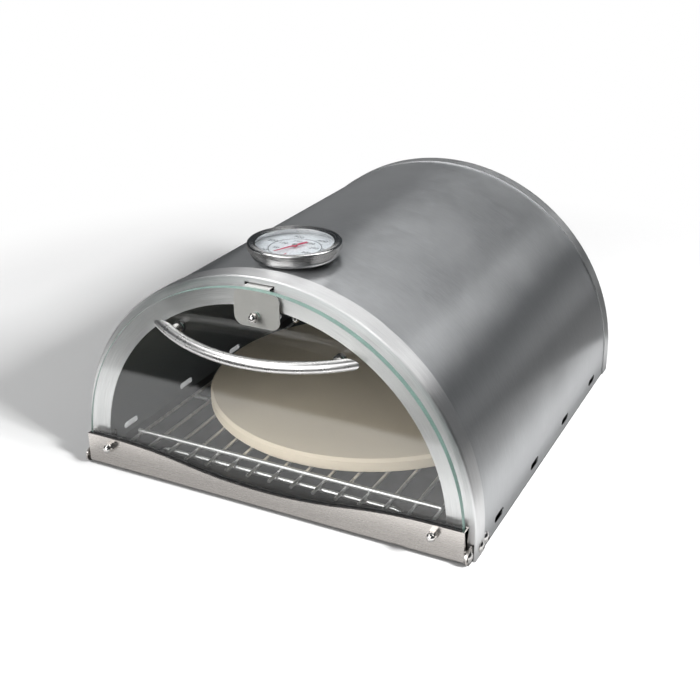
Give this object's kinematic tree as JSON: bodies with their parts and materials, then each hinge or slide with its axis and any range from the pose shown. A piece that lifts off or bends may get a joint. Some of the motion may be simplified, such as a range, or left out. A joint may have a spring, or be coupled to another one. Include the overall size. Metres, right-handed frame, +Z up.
{
  "type": "countertop pizza oven",
  "caption": "Stainless barrel-vault countertop pizza oven with a drop-down glass door, bowed handle, scooped hinge rail, dial thermometer, side vent slots, wire rack and round baking stone.",
  "frame": {"origin": "centre of the body's footprint, on the counter", "axes": "+Z up. The door and its handle face -Y, and +Y runs back to the rear wall. +X is to the right of someone who stands in front of the door."},
  "size_m": [0.3654, 0.4149, 0.2124],
  "materials": {
    "shell_steel": "brushed, grain round the vault",
    "frame_steel": "satin",
    "bright_steel": "polished",
    "wire_steel": "bright drawn wire",
    "black_steel": "dark enamel",
    "cordierite": "dry, fine-grained",
    "door_glass": "clear, tempered, green edge",
    "clear_glass": "clear",
    "black_rubber": "matte silicone",
    "white_enamel": "satin white with printed scale",
    "red_enamel": "gloss red",
    "coil_brass": "bare"
  },
  "bodies": {
    "oven": {"outer_shell": "shell_steel", "front_frame": "frame_steel", "rear_cap": "frame_steel", "floor_tray": "black_steel", "wire_rack": "wire_steel", "rack_feet": "wire_steel", "pizza_stone": "cordierite", "hinge_bracket_left": "frame_steel", "hinge_bracket_right": "frame_steel", "bracket_screws": "bright_steel", "bracket_nuts": "bright_steel", "hinge_pin_left": "bright_steel", "hinge_pin_right": "bright_steel", "hinge_spacers": "bright_steel", "thermometer_case": "bright_steel", "thermometer_bezel": "bright_steel", "dial_plate": "white_enamel", "dial_lens": "clear_glass", "bimetal_coil": "coil_brass", "thermometer_probe": "bright_steel", "thermometer_nut": "bright_steel", "thermometer_washer": "bright_steel"},
    "door": {"door_glass": "door_glass", "door_rail": "frame_steel", "rail_gasket": "black_rubber", "rail_bolts": "bright_steel", "rail_cap_nuts": "bright_steel", "handle_bar": "bright_steel", "handle_posts": "bright_steel", "handle_screws": "bright_steel", "handle_washers": "black_rubber", "catch_plate": "frame_steel", "catch_bolt": "bright_steel", "catch_cap_nut": "bright_steel"},
    "needle": {"dial_needle": "red_enamel", "needle_spindle": "frame_steel"}
  },
  "joints": [
    {"name": "door_hinge", "type": "hinge", "parent": "oven", "child": "door", "pos_m": [0, -0.194, 0.008], "axis": [1, 0, 0], "range_deg": [0, 69.5]},
    {"name": "needle_turn", "type": "hinge", "parent": "oven", "child": "needle", "pos_m": [0, -0.133, 0.20675], "axis": [0, 0, -1], "range_deg": [0, 300]}
  ]
}
